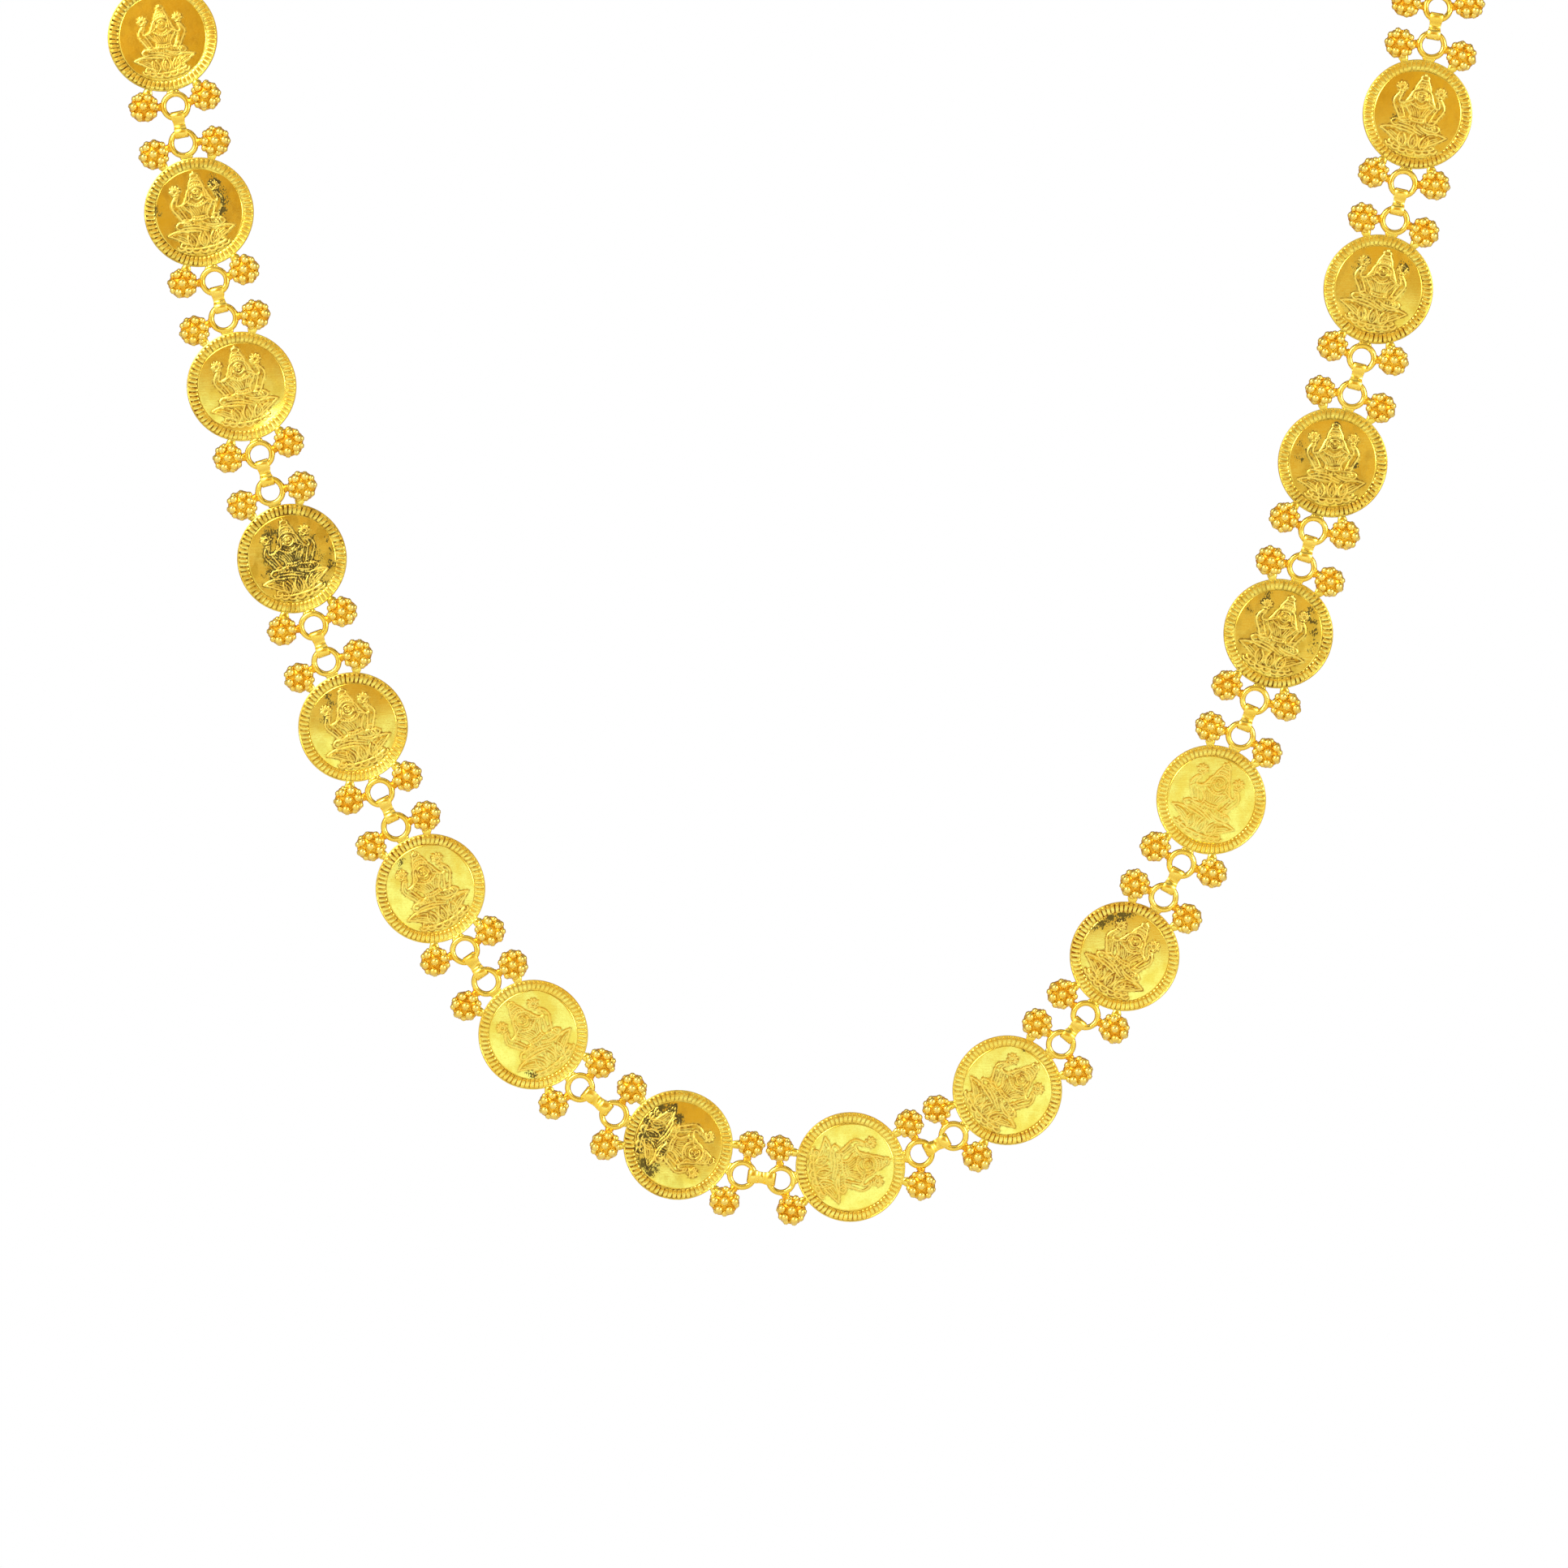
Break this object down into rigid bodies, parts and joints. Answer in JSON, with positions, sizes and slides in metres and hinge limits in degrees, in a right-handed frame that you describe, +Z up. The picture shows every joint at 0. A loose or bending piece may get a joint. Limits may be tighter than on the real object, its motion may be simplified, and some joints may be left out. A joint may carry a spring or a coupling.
{
  "type": "coin necklace",
  "caption": "Long gold coin necklace: struck coins with toothed rims between rings and grain flowers, joined by folded ribbon straps and closed by a hook.",
  "frame": {"origin": "middle of the neck hollow, level with the back of the loop, where a neck holds it", "axes": "+Z up, -Y the front that the coins face, X across the front"},
  "size_m": [0.1721, 0.0669, 0.2122],
  "materials": {
    "coin_gold": "polished high carat gold with tarnish specks",
    "strap_gold": "polished gold ribbon",
    "hook_gold": "polished gold wire"
  },
  "bodies": {
    "root": {"coin_01": "coin_gold", "coin_02": "coin_gold", "coin_03": "coin_gold", "coin_04": "coin_gold", "coin_05": "coin_gold", "coin_06": "coin_gold", "coin_07": "coin_gold", "coin_08": "coin_gold", "coin_09": "coin_gold", "coin_10": "coin_gold", "coin_11": "coin_gold", "coin_12": "coin_gold", "coin_13": "coin_gold", "coin_14": "coin_gold", "coin_15": "coin_gold", "coin_16": "coin_gold", "coin_17": "coin_gold", "coin_18": "coin_gold", "coin_19": "coin_gold", "coin_20": "coin_gold", "coin_21": "coin_gold", "coin_22": "coin_gold", "coin_23": "coin_gold", "coin_24": "coin_gold", "coin_25": "coin_gold", "coin_26": "coin_gold", "coin_27": "coin_gold", "coin_28": "coin_gold", "straps_left": "strap_gold", "straps_right": "strap_gold", "hook_clasp": "hook_gold"}
  },
  "joints": []
}
